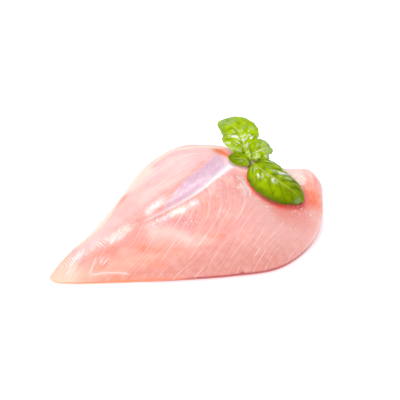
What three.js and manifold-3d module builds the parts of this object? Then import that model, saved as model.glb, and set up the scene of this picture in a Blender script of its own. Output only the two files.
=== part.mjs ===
// A raw turkey breast fillet, skinned and boned, lying on its flat underside, with a
// sprig of basil resting on its thick end. Millimetres, +Z up. The fillet's thin tip
// points to -X, its straight near edge to -Y and its high far flank to +Y.
import * as THREE from "three";
import { mergeVertices } from "three/addons/utils/BufferGeometryUtils.js";
import Module from "manifold-3d";

const wasm = await Module();
wasm.setup();

// Driving dimensions of the fillet. Its plan is measured from the tip.
const FILLET_LENGTH = 237;
const NEAR_REACH = 46.5; // out to the near edge
const FAR_REACH = 91; // out to the far flank
const TIP_Y = 1;
const END_Y = 20;
const CREST_HEIGHT = 54; // of the crest, before the flank rounds it off

// Plan outline between the tip and the blunt end, as shares of the length and of each side's reach.
const NEAR_EDGE = [
  [0.03, -0.14], [0.17, -0.38], [0.363, -0.667], [0.549, -0.903],
  [0.709, -1], [0.844, -0.7], [0.9325, -0.258],
];
const FAR_EDGE = [
  [0.021, 0.055], [0.143, 0.223], [0.278, 0.526], [0.405, 0.845], [0.549, 1.01],
  [0.65, 0.98], [0.74, 0.95], [0.82, 0.83], [0.9, 0.635], [0.984, 0.46],
];
// Height of the crest along the fillet, as shares of the length and of the crest's height.
const CREST = [
  [0, 0.07], [0.042, 0.185], [0.143, 0.37], [0.278, 0.63], [0.422, 0.889],
  [0.565, 1], [0.684, 0.925], [0.785, 0.685], [0.895, 0.45], [1, 0.55],
];
// Height of the outermost line, where the top turns under.
const LIP = { near: 3, far: 18, tip: 3.5, end: 14.7, tipBlend: 30, endBlend: 45, power: 1.5 };
// How the section rises from the near edge and where its far flank starts, as shares of the width.
const SECTION = { risePower: 0.72, flankStart: 0.79 };
const TIP_ROUND = 12; // length of the tip's rounding
const END_ROUND = { length: 10.5, power: 3 };
const CURL_SHARE = 0.9; // how far in the underside curls up, against the height of its lip

// Relief of the top. Places across are measured from the seam where they are called beyond.
const SEAM = { start: 80, end: 190, blend: 14, y: 14.3, slope: 0.086, bend: 0.00332, width: 2.6, depth: 1.3 };
const PATCH = { start: 100, blend: 20, beyond: 9, width: 7, depth: 1.1 };
const SWELL = { beyond: -11, width: 8, height: 1.6 };
const HOLLOW = { start: 72, end: 142, blend: 18, x: 92, y: -8, bend: -0.0022, width: 8, depth: 2 };
const DIMPLE = { x: 163.5, y: 61.5, radius: 6, depth: 1.6 };
const LUMPS = { height: 0.5, waves: [[13, 21, 0], [-31, 9, 1.3]] };
const RELIEF_MARGIN = { side: 0.16, tip: 24, end: 14 }; // relief fades out towards the outline

// Points round the fillet's sections and rows of them from tip to end.
const TOP_STEPS = 32;
const BASE_STEPS = 14;
const ROWS = 80;
const AROUND = TOP_STEPS + BASE_STEPS;
const TOP_SHARE = TOP_STEPS / AROUND;
const CROWDING = { rows: 0.35, top: 0.45, base: 0.7 }; // how much steps shrink towards the outline
const OUTLINE_SAMPLES = 240;
const MERGE_DISTANCE = 1e-4;

// The basil. Its joint is where the leaves leave the stem, over the meat's thick end.
const JOINT = [184.6, 52.5, 3.1]; // plan place and height over the meat
const LEAF_THICKNESS = 0.9;
const PETIOLE_RADIUS = 0.9;
const STEM_RADIUS = 1.4;
const STEM_PATH = [[-5.5, 11, 0.2], [-2.5, 4.5, 0], [0.6, -1.2, 0.2]]; // from the joint
const STALK_SIDES = 8;
const STALK_STEPS = 5;
const PETIOLE_IN_BLADE = 0.2; // how far a petiole runs on inside the blade, towards the spine's next point
const BLADE = { leastHalfWidth: 0.5, teeth: 9, toothDepth: 0.018 };
const MIDRIB = { depth: 0.5, width: 0.14 }; // a groove, its width a share of the half width
const VEIN = { slant: 0.3, curve: 1.3 }; // a vein's run forward on its way out, as a share of the length
const QUILT_MARGIN = 0.3; // the puffed flesh starts this far out from the midrib
const ARCH_POWER = 1.7;

// Each side of a blade has its reach, fullness and skew towards the tip. Each leaf's spine runs from its base
// to its tip: over the meat as plan place and lift, or from the joint.
const LEAVES = {
  lower: {
    sides: [[19.5, 0.36, 0.4], [18.3, 0.52, 0.78]], arch: 5, quilt: 1.5, veins: 5.5, steps: 20, lanes: 12,
    overMeat: true, sideways: [-0.86, -0.5, -0.05],
    spine: [
      [182.4, 41.9, 7.2], [188.1, 30.1, 11.4], [193.5, 20.5, 12.6],
      [200.3, 12.6, 12], [206.3, 8.1, 9], [210.7, 3.4, 4],
    ],
  },
  upper: {
    sides: [[15.6, 0.5, 0.85], [18, 0.8, 1.15]], arch: 4, quilt: 1.5, veins: 5, steps: 20, lanes: 12,
    overMeat: false, sideways: [1, 0.34, 0.2],
    spine: [
      [-1.9, 4.6, 3], [-1.8, 12.5, 9.5], [-1.2, 22.2, 13],
      [-3.2, 31.2, 14.6], [-8, 37.4, 15], [-13.4, 41.8, 14.4],
    ],
  },
  left: {
    sides: [[8.4, 0.55, 0.75], [11, 0.6, 0.75]], arch: 1.6, quilt: 1, veins: 3.5, steps: 10, lanes: 8,
    overMeat: true, sideways: [0.15, 1, 0.1],
    spine: [[182.4, 48.6, 4.7], [175.7, 48.7, 5.1], [169.7, 49.1, 5.1], [163.9, 50.8, 3.5]],
  },
  right: {
    sides: [[14, 0.55, 1.2], [10.5, 0.36, 1.25]], arch: 2.6, quilt: 1, veins: 4, steps: 10, lanes: 8,
    overMeat: false, sideways: [0.3, -0.9, -0.3],
    spine: [[-0.1, 1.4, 2.6], [4.9, 0.8, 5.5], [10.4, 1.2, 7], [15.9, 1.4, 6.4], [19.7, -0.8, 4]],
  },
  young: {
    sides: [[3.6, 0.6, 0.8], [3.6, 0.6, 0.8]], arch: 1.2, quilt: 0.4, veins: 3, steps: 6, lanes: 6,
    overMeat: false, sideways: [0.5, -0.8, 0.1],
    spine: [[-1.2, -4.4, 3], [2.5, -5.9, 6.5], [6.9, -5.9, 7]],
  },
  bud: {
    sides: [[2.8, 0.6, 0.8], [2.8, 0.6, 0.8]], arch: 0.8, quilt: 0.3, veins: 3, steps: 6, lanes: 6,
    overMeat: false, sideways: [0.9, 0.3, 0.2],
    spine: [[-2, -4.6, 2.8], [-2.8, -1.6, 6.5], [-2.4, 2.2, 10.5]],
  },
};

const mix = (a, b, t) => a + (b - a) * t;
const clamp01 = (t) => Math.min(1, Math.max(0, t));
const bump = (t) => Math.exp(-t * t);
const ease = (t) => clamp01(t) ** 2 * (3 - 2 * clamp01(t));
const roundOff = (t, power = 2) => Math.sqrt(Math.max(0, 1 - clamp01(t) ** power));
const crowd = (t, share) => mix(t, (1 - Math.cos(Math.PI * t)) / 2, share);

// A window that is 1 between two places along the fillet and eases to 0 outside them.
const between = (x, from, to, blend) => ease((x - from) / blend + 1) * ease((to - x) / blend + 1);

// A smooth height over x through a few stations.
function smoothHeight(stations, x) {
  const last = stations.length - 1;
  let i = 0;
  while (i < last - 1 && x > stations[i + 1][0]) i++;
  const slope = (k) => {
    const a = stations[Math.max(k - 1, 0)];
    const b = stations[Math.min(k + 1, last)];
    return (b[1] - a[1]) / (b[0] - a[0]);
  };
  const [x0, z0] = stations[i];
  const [x1, z1] = stations[i + 1];
  const span = x1 - x0;
  const w = clamp01((x - x0) / span);
  return (
    (2 * w ** 3 - 3 * w ** 2 + 1) * z0 +
    (w ** 3 - 2 * w ** 2 + w) * span * slope(i) +
    (3 * w ** 2 - 2 * w ** 3) * z1 +
    (w ** 3 - w ** 2) * span * slope(i + 1)
  );
}

function edgeCurve(shares, reach) {
  const tip = new THREE.Vector2(0, TIP_Y);
  const end = new THREE.Vector2(FILLET_LENGTH, END_Y);
  const places = shares.map(([x, y]) => new THREE.Vector2(x * FILLET_LENGTH, y * reach));
  return new THREE.SplineCurve([tip, ...places, end]);
}

const nearEdge = edgeCurve(NEAR_EDGE, NEAR_REACH);
const farEdge = edgeCurve(FAR_EDGE, FAR_REACH);
const outline = [nearEdge, farEdge].flatMap((edge) => {
  const places = edge.getSpacedPoints(OUTLINE_SAMPLES).map(({ x, y }) => new THREE.Vector3(x, y, 0));
  return places.slice(1).map((place, i) => new THREE.Line3(places[i], place));
});
const crest = CREST.map(([x, z]) => [x * FILLET_LENGTH, z * CREST_HEIGHT]);

const seamY = (x) => SEAM.y + SEAM.slope * (x - SEAM.start) + SEAM.bend * (x - SEAM.start) ** 2;

// Raised and sunken forms of the top.
function relief(x, y) {
  const beyond = y - seamY(x);
  const alongSeam = between(x, SEAM.start, SEAM.end, SEAM.blend);
  const seam = -SEAM.depth * bump(beyond / SEAM.width) * alongSeam;
  const alongPatch = between(x, PATCH.start, SEAM.end, PATCH.blend);
  const patch = -PATCH.depth * bump((beyond - PATCH.beyond) / PATCH.width) * alongPatch;
  const swell = SWELL.height * bump((beyond - SWELL.beyond) / SWELL.width) * alongSeam;
  const hollowY = HOLLOW.y + HOLLOW.bend * (x - HOLLOW.x) ** 2;
  const alongHollow = between(x, HOLLOW.start, HOLLOW.end, HOLLOW.blend);
  const hollow = -HOLLOW.depth * bump((y - hollowY) / HOLLOW.width) * alongHollow;
  const dimple = -DIMPLE.depth * bump(Math.hypot(x - DIMPLE.x, y - DIMPLE.y) / DIMPLE.radius);
  const lumps = LUMPS.waves.reduce((sum, [a, b, shift]) => sum + Math.sin(x / a + y / b + shift), 0);
  return seam + patch + swell + hollow + dimple + LUMPS.height * lumps;
}

// Height of the outermost line of the fillet, across = 0 at the near edge and 1 at the far one.
function lipHeight(x, across) {
  const toTip = clamp01((LIP.tipBlend - x) / LIP.tipBlend) ** LIP.power;
  const toEnd = clamp01((x - FILLET_LENGTH + LIP.endBlend) / LIP.endBlend) ** LIP.power;
  return mix(mix(mix(LIP.near, LIP.far, across), LIP.tip, toTip), LIP.end, toEnd);
}

function topHeight(x, y, across) {
  const lip = lipHeight(x, across);
  const flank = roundOff((across - SECTION.flankStart) / (1 - SECTION.flankStart));
  const end = roundOff((x - FILLET_LENGTH) / END_ROUND.length + 1, END_ROUND.power);
  const tip = roundOff(1 - x / TIP_ROUND);
  const swollen = Math.max(0, smoothHeight(crest, x) - lip) * across ** SECTION.risePower;
  const inSides = ease(across / RELIEF_MARGIN.side) * ease((1 - across) / RELIEF_MARGIN.side);
  const inEnds = ease(x / RELIEF_MARGIN.tip) * ease((FILLET_LENGTH - x) / RELIEF_MARGIN.end);
  return lip + (swollen + relief(x, y) * inSides * inEnds) * flank * end * tip;
}

// The underside is flat and curls up to the lip in a quarter round.
function baseHeight(x, y, across) {
  const lip = lipHeight(x, across);
  const place = new THREE.Vector3(x, y, 0);
  const nearest = new THREE.Vector3();
  const distances = outline.map((side) => side.closestPointToPoint(place, true, nearest).distanceTo(place));
  return lip * (1 - roundOff(1 - Math.min(...distances) / (CURL_SHARE * lip)));
}

// A ball pressed into the fillet's form: its poles become the tip and the blunt end.
function filletGeometry() {
  const ball = new THREE.SphereGeometry(1, AROUND, ROWS);
  ball.deleteAttribute("normal");
  ball.deleteAttribute("uv");
  const geometry = mergeVertices(ball, MERGE_DISTANCE);
  const places = geometry.getAttribute("position");
  const near = new THREE.Vector2();
  const far = new THREE.Vector2();
  for (let i = 0; i < places.count; i++) {
    const along = Math.acos(THREE.MathUtils.clamp(places.getY(i), -1, 1)) / Math.PI;
    const turn = (Math.atan2(-places.getZ(i), places.getX(i)) / (2 * Math.PI) + 1) % 1;
    const onTop = turn <= TOP_SHARE;
    const across = onTop
      ? crowd(turn / TOP_SHARE, CROWDING.top)
      : crowd((1 - turn) / (1 - TOP_SHARE), CROWDING.base);
    const step = crowd(along, CROWDING.rows);
    nearEdge.getPointAt(step, near);
    farEdge.getPointAt(step, far);
    const x = mix(near.x, far.x, across);
    const y = mix(near.y, far.y, across);
    places.setXYZ(i, x, y, onTop ? topHeight(x, y, across) : baseHeight(x, y, across));
  }
  return geometry;
}

// How far one side of a leaf's blade reaches at a share of its length, with a faintly toothed margin.
function bladeHalfWidth([reach, fullness, skew], along) {
  const oval = Math.sin(Math.PI * along ** skew) ** fullness;
  const teeth = 1 + BLADE.toothDepth * Math.sin(2 * Math.PI * BLADE.teeth * along);
  return Math.max(BLADE.leastHalfWidth, reach * oval * teeth);
}

// How far a point of the blade stands off the plane through its midrib, at a share of the half width.
function bladeRise(leaf, along, share, body) {
  const midrib = -MIDRIB.depth * bump(share / MIDRIB.width);
  const vein = Math.abs(Math.sin(Math.PI * leaf.veins * (along - VEIN.slant * share ** VEIN.curve)));
  const quilt = leaf.quilt * vein * (1 - share ** 3) * ease(share / QUILT_MARGIN);
  return (midrib + quilt - leaf.arch * share ** ARCH_POWER) * body;
}

// A thin wavy solid along a spine. Both faces are split into triangles alike.
function leafGeometry(leaf, spine) {
  const { steps, lanes } = leaf;
  const curve = new THREE.CatmullRomCurve3(spine);
  const sideways = new THREE.Vector3(...leaf.sideways).normalize();
  const places = [];
  for (const face of [0.5, -0.5]) {
    for (let i = 0; i <= steps; i++) {
      const along = i / steps;
      const at = curve.getPointAt(along);
      const ahead = curve.getTangentAt(along);
      const lateral = sideways.clone().addScaledVector(ahead, -sideways.dot(ahead)).normalize();
      const up = lateral.clone().cross(ahead).normalize();
      for (let j = 0; j <= lanes; j++) {
        const across = (2 * j) / lanes - 1;
        const side = leaf.sides[across < 0 ? 0 : 1];
        const halfWidth = bladeHalfWidth(side, along);
        const rise = bladeRise(leaf, along, Math.abs(across), halfWidth / side[0]);
        const point = at.clone()
          .addScaledVector(lateral, halfWidth * across)
          .addScaledVector(up, rise + face * LEAF_THICKNESS);
        places.push(...point.toArray());
      }
    }
  }
  const row = lanes + 1;
  const under = (steps + 1) * row;
  const faces = [];
  const quad = (a, b, c, d) => faces.push(a, b, c, a, c, d);
  for (let i = 0; i < steps; i++) {
    for (let j = 0; j < lanes; j++) {
      const a = i * row + j;
      const b = under + a;
      quad(a, a + 1, a + row + 1, a + row);
      faces.push(b, b + row + 1, b + 1);
      faces.push(b, b + row, b + row + 1);
    }
  }
  for (let i = 0; i < steps; i++) {
    const left = i * row;
    const right = left + lanes;
    quad(left, left + row, under + left + row, under + left);
    quad(right, under + right, under + right + row, right + row);
  }
  for (let j = 0; j < lanes; j++) {
    const end = steps * row + j;
    quad(j, under + j, under + j + 1, j + 1);
    quad(end, end + 1, under + end + 1, under + end);
  }
  const geometry = new THREE.BufferGeometry();
  geometry.setAttribute("position", new THREE.Float32BufferAttribute(places, 3));
  geometry.setIndex(faces);
  return geometry;
}

// A round stalk along a path.
function stalkGeometry(path, radius) {
  const section = new THREE.Shape().absarc(0, 0, radius, 0, 2 * Math.PI);
  return new THREE.ExtrudeGeometry(section, {
    steps: STALK_STEPS,
    curveSegments: STALK_SIDES,
    bevelEnabled: false,
    extrudePath: new THREE.CatmullRomCurve3(path),
  });
}

function solidOf(geometry) {
  const bare = geometry.clone();
  bare.deleteAttribute("normal");
  bare.deleteAttribute("uv");
  const merged = mergeVertices(bare, MERGE_DISTANCE);
  return new wasm.Manifold(
    new wasm.Mesh({
      numProp: 3,
      vertProperties: new Float32Array(merged.getAttribute("position").array),
      triVerts: new Uint32Array(merged.index.array),
    }),
  );
}

function geometryOf(solid) {
  const mesh = solid.getMesh();
  const geometry = new THREE.BufferGeometry();
  geometry.setAttribute("position", new THREE.BufferAttribute(mesh.vertProperties, 3));
  geometry.setIndex(new THREE.BufferAttribute(mesh.triVerts, 1));
  return geometry;
}

// The sprig: leaves in crossed pairs on petioles from one short stem, all one body.
function sprigGeometry(fillet) {
  const down = new THREE.Vector3(0, 0, -1);
  const overMeat = ([x, y, lift]) => {
    const ray = new THREE.Raycaster(new THREE.Vector3(x, y, FILLET_LENGTH), down);
    const [surface] = ray.intersectObject(fillet);
    return new THREE.Vector3(x, y, surface.point.z + lift);
  };
  const joint = overMeat(JOINT);
  const fromJoint = (offset) => new THREE.Vector3(...offset).add(joint);
  const pieces = [solidOf(stalkGeometry(STEM_PATH.map(fromJoint), STEM_RADIUS))];
  for (const leaf of Object.values(LEAVES)) {
    const spine = leaf.spine.map(leaf.overMeat ? overMeat : fromJoint);
    const [base, next] = spine;
    const insideBlade = base.clone().lerp(next, PETIOLE_IN_BLADE);
    pieces.push(solidOf(leafGeometry(leaf, spine)));
    pieces.push(solidOf(stalkGeometry([joint, base, insideBlade], PETIOLE_RADIUS)));
  }
  return geometryOf(pieces.reduce((whole, piece) => whole.add(piece)));
}

const meat = new THREE.MeshStandardMaterial({ color: 0xf6aea2, roughness: 0.3, metalness: 0 });
const leafGreen = new THREE.MeshStandardMaterial({ color: 0x7da013, roughness: 0.35, metalness: 0 });

const group = new THREE.Group();
function addPiece(name, geometry, material) {
  geometry.computeVertexNormals();
  const mesh = new THREE.Mesh(geometry, material);
  mesh.name = name;
  group.add(mesh);
  return mesh;
}
const fillet = addPiece("turkey_breast", filletGeometry(), meat);
addPiece("basil_sprig", sprigGeometry(fillet), leafGreen);

// The origin is the middle of the whole, on the surface that the fillet lies on.
const whole = new THREE.Box3().setFromObject(group);
const middle = whole.getCenter(new THREE.Vector3());
for (const mesh of group.children) mesh.position.set(-middle.x, -middle.y, -whole.min.z);

export default group;
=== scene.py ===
"""A raw turkey breast fillet with a sprig of basil, in a white high-key studio.

The sizes are those of the part's source, in millimetres from the fillet's tip. Meshes are moved and
turned to metres when they are made. The fillet and the leaves are cut finer here, and the finish of
each is worked out from masks that are kept on the mesh: 0 where a mark is absent, 1 where it is full.
"""

import math

import bpy
import numpy as np
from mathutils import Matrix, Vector
from mathutils.bvhtree import BVHTree
from mathutils.kdtree import KDTree


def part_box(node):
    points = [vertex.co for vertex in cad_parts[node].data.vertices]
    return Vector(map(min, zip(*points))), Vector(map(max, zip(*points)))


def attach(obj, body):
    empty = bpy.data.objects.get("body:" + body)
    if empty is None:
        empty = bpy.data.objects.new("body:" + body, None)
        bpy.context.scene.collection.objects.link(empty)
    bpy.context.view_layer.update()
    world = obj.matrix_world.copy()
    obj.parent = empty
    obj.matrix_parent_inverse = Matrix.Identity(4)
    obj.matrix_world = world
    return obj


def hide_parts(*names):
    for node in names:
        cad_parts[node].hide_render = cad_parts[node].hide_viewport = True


MM = 0.001

# The fillet's plan, crest and section, as in the part's source.
FILLET_LENGTH = 237
NEAR_REACH = 46.5
FAR_REACH = 91
TIP = (0, 1)
END = (FILLET_LENGTH, 20)
CREST_HEIGHT = 54
NEAR_EDGE = [(0.03, -0.14), (0.17, -0.38), (0.363, -0.667), (0.549, -0.903), (0.709, -1),
             (0.844, -0.7), (0.9325, -0.258)]
FAR_EDGE = [(0.021, 0.055), (0.143, 0.223), (0.278, 0.526), (0.405, 0.845), (0.549, 1.01),
            (0.65, 0.98), (0.74, 0.95), (0.82, 0.83), (0.9, 0.635), (0.984, 0.46)]
CREST = [(0, 0.07), (0.042, 0.185), (0.143, 0.37), (0.278, 0.63), (0.422, 0.889), (0.565, 1),
         (0.684, 0.925), (0.785, 0.685), (0.895, 0.45), (1, 0.55)]
LIP = {"near": 3, "far": 18, "tip": 3.5, "end": 14.7, "tip_blend": 30, "end_blend": 45, "power": 1.5}
RISE_POWER = 0.72
FLANK_START = 0.79
TIP_ROUND = 12
END_ROUND = 10.5
END_ROUND_POWER = 3
CURL_SHARE = 0.9

# Relief of the fillet's top.
SEAM = {"start": 80, "end": 190, "blend": 14, "y": 14.3, "slope": 0.086, "bend": 0.00332, "width": 2.6,
        "depth": 1.3}
PATCH = {"start": 100, "blend": 20, "beyond": 9, "width": 7, "depth": 1.1}
SWELL = {"beyond": -11, "width": 8, "height": 1.6}
HOLLOW = {"start": 72, "end": 142, "blend": 18, "x": 92, "y": -8, "bend": -0.0022, "width": 8, "depth": 2}
DIMPLE = {"x": 163.5, "y": 61.5, "radius": 6, "depth": 1.6}
LUMPS = {"height": 0.5, "waves": [(13, 21, 0), (-31, 9, 1.3)]}
SIDE_MARGIN = 0.16
TIP_MARGIN = 24
END_MARGIN = 14

# Relief too fine for the part's source: heights and depths, and widths, in millimetres.
FINE = {"fat": 0.45, "fat_width": 1.3, "broad_dents": 0.22, "small_dents": 0.1, "septa": 0.12,
        "septum_width": 0.9, "threads": 0.15, "thread_width": 0.8, "crimps": 0.14}

# How finely the fillet is cut: rows from tip to end, and points round each row.
ROWS = 420
TOP_LANES = 158
BASE_LANES = 36
CROWD_ROWS = 0.35
CROWD_TOP = 0.45
CROWD_BASE = 0.7
EDGE_CUTS = 80
SPINE_CUTS = 60

# Marks on the top, as lines of plan places. A line may have a half width, and then a strength.
WHITE_SEPTA = [
    [(155.5, -10.5), (145.5, -14.5), (134, -21), (124.5, -27), (118, -31.5), (113.5, -35)],
    [(192, -8), (178.5, -18.5), (166.5, -26.5), (155, -34.5), (147, -39)],
    [(147.5, 35), (147, 25), (145, 17.5), (142, 9), (135, 0), (128, -6), (120.5, -12.5), (99, -28)],
    [(123.5, 29.5), (124, 23.5), (121.5, 12.5), (116, 6.5), (109, 0.5), (98, -7.5), (78.5, -22.5)],
    [(135.5, 34), (137, 28.5), (136.5, 18.5), (133, 10.5), (127.5, 3.5)],
    [(163, 31), (164, 22), (163, 12), (158.5, 3), (150, -5.5)],
]
NEAR_THREADS = [
    [(28.5, -10.5), (40, -12.5), (50.5, -16), (59, -20)],
    [(28.5, -10.5), (32.5, -6), (37.5, 0)],
]
FAR_RIM = [(20.5, 12), (33.5, 19), (45.5, 23.5), (56, 30.5), (60.5, 35.5), (66.5, 43.5), (77, 50),
           (91.5, 60), (102.5, 66), (114.5, 71), (127.5, 73), (142, 69.5), (157, 68), (172, 69.5)]
ORANGE_LINES = [
    ([(24, -2), (35, 1), (45, 0.5), (56, 2), (66, 0)], 3.2, 0.4),
    ([(58, 3), (74, -5.5), (82.5, -10.5), (92.5, -14), (108, -18)], 3.2, 0.7),
    ([(3, -3), (13.5, -8), (27.5, -12.5), (42, -17), (56, -21), (80, -27)], 2, 0.6),
    ([(60, -12), (77.5, -18.5), (93, -24)], 5, 0.4),
    ([(28, -5), (39, -8), (48, -4), (57, -5)], 2.5, 0.4),
    ([(96, -9.5), (101.5, -11.5), (107, -13)], 1.8, 0.5),
    ([(118, -9.5), (130, -14), (141, -17)], 2.5, 0.5),
    ([(98, 22), (105, 28), (113.5, 35), (128.5, 43.5), (145.5, 52.5), (156, 60)], 1.1, 0.5),
    ([(64, 33), (71.5, 40.5), (77, 43.5)], 2, 0.5),
    ([(54, 20), (70, 30), (88, 42), (104, 50)], 4, 0.22),
    ([(47, 24), (54.5, 28.5), (60, 32), (66, 36.5), (72, 42), (77, 47)], 3.2, 0.4),
    # orange on the far rim under the upper leaf: painted shade
    ([(158, 69), (168, 69), (178, 67), (186, 63)], 4, 0.6),
    # orange at the blunt end: painted glow and shading of light through the thin flesh
    ([(220, 40), (220.5, 25.5), (222.5, 14), (222.5, 2), (216, -10)], 8.5, 1),
]
DIMPLE_LINE = [(153, 67.5), (160, 63.5), (165.5, 61), (169.5, 56), (170.5, 47)]
ROSY_LINE = [(80, 9), (94.5, 7), (104.5, 0.5), (116, -5)]
# Pale marks: paler film and fat, and in part painted sheen of the wet film and painted light on the raised
# blunt end.
PALE_LINES = [
    ([(73, 3.5), (80.5, 2), (95.5, -1), (102, -5), (109, -8.5), (116, -9)], 5, 0.6),
    ([(73, 43), (80, 49), (87, 53.5), (95, 58), (106, 62)], 6, 0.85),
    ([(98, 12), (111, 13), (122, 15.5)], 4, 0.5),
    ([(47, 7.5), (55, 9.5), (62, 12), (70, 14.5)], 3, 0.8),
    ([(14, -1), (21.5, 3.5), (28, 7.5)], 3, 0.7),
    ([(205, 50), (216.5, 43), (226.5, 33.5)], 7, 0.8),
]
# Painted highlights of the wet film.
WET_HIGHLIGHT_LINES = [
    [(79, 17), (86, 19.5), (92, 23), (97, 25), (104, 26.5)],
    [(107, 11.5), (110.5, 12), (114, 12.5)],
    [(117, 14.5), (121, 15.5), (126, 17)],
]
RIM_GLOW = [(238, 40), (237, 28), (234.5, 16.5), (231, 3.5), (224, -9), (215.5, -20), (205.5, -30),
            (192, -38)]
CRIMPED_LINE = [(8, 1.5), (16, 4), (25.5, 6), (35.5, 7), (46, 9.5), (56, 11), (68, 13)]
CRIMPED_WIDTH = 4
CRIMP_SPACING = 2.1
# Juice streaks along the fibres, whose shine is painted white.
SMEARED_LINES = [
    ([(10, -3.5), (19, -1.5), (21.5, 2), (25.5, 5.5), (33, 6)], 3.2),
    ([(38, -4.5), (42.5, -6), (47, -6.5)], 2.6),
    ([(48, 6.5), (55, 8), (60.5, 11), (70, 14)], 3.4),
    ([(84, 7), (94, 9)], 2.5),
    ([(150, 34), (166, 28), (170, 8)], 4),
]

# Spots on the top, as plan places and radii: painted light that lifts the shade under the leaves, and
# beads of juice, whose white flecks are painted glints.
PAINTED_LIGHT_SPOTS = [(164, 48, 4), (170, 41, 6), (164, 55, 5), (171, 67, 6), (175.5, 41, 3)]
BEADED_SPOTS = [(86, 7.6, 3), (96, 8, 3), (107, 7.2, 4), (110, 3, 5), (117.5, 1, 4), (111, 13.6, 4),
                (122, 15, 4), (168, 26, 8), (162, 19, 6), (171, 13, 6), (145, 20, 4), (180, 1, 5),
                (204, 1, 6), (212, -3, 6), (192, -19, 4), (10, 1, 4)]

# The pale spot by the end, a painted light on the raised blunt end, the nick in the lip, the film beyond
# the seam and the fat along it, and roughly the way over the top from edge to edge.
PALE_SPOT = {"x": 221.7, "y": 30.3, "radius": 5.4, "edge": 1.2, "ragged": 1.6, "strength": 0.8}
NICK = {"x": 139.5, "width": 1.5, "reach": 1.2}
# The painted contact shadow along the near lip: how far it reaches, wider at the nick.
LIP_REACH = 0.9
LOW_ORANGE_REACH = 3
FILM = {"opens": 94, "opening": 28, "width": 16.5, "power": 0.75, "flare": 0.08, "flare_from": 140,
        "ragged": 0.6, "edge": 2.6, "thin_share": 0.65, "pale_from": 131.8, "pale_blend": 44,
        "pale_ragged": 0.3}
FAT_SEAM = {"thin": 0.8, "thick": 2.7, "before": 0.5, "least": 0.75}
TOP_GIRTH = 165

# Zones of the top, each the product of its slopes. A slope is still 0 at one place and 1 at the next, of
# x along the fillet, y across it, its side from the near edge, 0, to the far one, 1, the distance beyond
# the seam, or x drawn askew or ragged.
ZONES = {
    "past_seam": [("beyond", -1.5, 1.5), ("x", 50, 80), ("x", 230, 200)],
    "left_far": [("x", 95, 55), ("side", 0.42, 0.58)],
    "smooth_end": [("skewed", 135, 195)],
    "upper": [("side", 0.5, 0.7), ("x", 12, 32)],
    # painted shade: darker over the near side of the thick end, where the light falls off
    "near_thick_end_shade": [("x", 120, 190), ("side", 0.55, 0.35)],
    "peach": [("x", 120, 60), ("y", 2, -14)],
    # painted shade: darker towards the near edge, where the top slopes away from the light
    "near_edge_shade": [("side", 0.22, 0.02), ("x", 22, 70), ("x", 206, 158)],
    "film": [("beyond", 0, 1.6), ("x", 86, 96), ("x", 176, 166)],
    "film_thickens": [("x", 104, 124)],
    "seam": [("x", 77, 85), ("x", 182, 174)],
    "seam_thickens": [("x", 95, 165)],
    "seam_spreads": [("x", 145, 165)],
    "seam_whitens": [("x", 110, 155)],
    "below_seam": [("beyond", -25, -20), ("beyond", 0, -5), ("x", 76, 90), ("x", 122, 108)],
    "tip_fat": [("ragged_x", 36, 4)],
    # painted contact shadow along the near lip
    "lip": [("x", 80, 110), ("x", 256, 226)],
    "low_orange": [("x", -36, 4), ("x", 110, 70)],
    # painted shadow on the underside curl
    "under_lip_shadow": [("x", 60, 85), ("x", 240, 215)],
}

# Marks that follow lines: the lines, their half width, and the share of their length that they fade over.
LINE_MARKS = {
    "septa": (WHITE_SEPTA, 0.4, 0.15),
    "threads": (NEAR_THREADS, 0.55, 0.15),
    "rim": ([FAR_RIM], 1.8, 0.08),
    "rim_shoulder": ([FAR_RIM[:9]], 5, 0.1),
    "rim_light": ([RIM_GLOW], 2.6, 0.25),
    "dimple": ([DIMPLE_LINE], 5, 0.25),
    "rosy": ([ROSY_LINE], 6, 0.3),
    # painted highlights of the wet film
    "wet": (WET_HIGHLIGHT_LINES, 2.5, 0.3),
}

# Marks that stay fainter than full.
STRENGTHS = {"rosy": 0.7, "tip_fat": 0.9, "film_pale": 0.6, "film_threads": 0.25, "rim_light": 0.6,
             "low_orange": 0.8}

# The meat beside the lower leaf: how far its painted red shadow and its painted glow reach.
LEAF_SHADOW_AND_GLOW = {"start": 168.5, "start_blend": 6, "left": 3, "right": 6.5, "from": 174, "blend": 20, "shine": 2.8}
LEAF_SHADOW_TAIL = {"start": 184, "end": 206, "blend": 12, "share": 0.5, "reach": 3}

# The basil's joint, as a plan place and its height over the meat, and the stem's path from there.
JOINT = (184.6, 52.5, 3.1)
STEM_PATH = [(-5.5, 11, 0.2), (-2.5, 4.5, 0), (0.6, -1.2, 0.2)]
PETIOLE_IN_BLADE = 0.2
PETIOLE_RADIUS = 0.8
STEM_RADIUS = 1.4
STALK_SIDES = 14
STALK_RINGS = 25
# A stalk's ends and a blade's margin narrow to a share of their thickness.
STALK_END_SHARE = 0.3
MARGIN_SHARE = 0.25
LEAF_THICKNESS = 0.5
LEAST_HALF_WIDTH = 0.5
ARCH_POWER = 1.7
QUILT_MARGIN = 0.3
TEETH = 9
TOOTH_DEPTH = 0.018
VEIN_SLANT = 0.3
VEIN_CURVE = 1.3
FURROW_WIDTH = 0.13
FURROW_LAG = 0.1
MIDRIB_DEPTH = 0.5
MIDRIB_WIDTH = 0.14
MIDRIB_LINE = 0.35
BROAD_MARGIN = 0.66
FINE_MARGIN = 0.88
WILTED_FROM = 0.965
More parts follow.
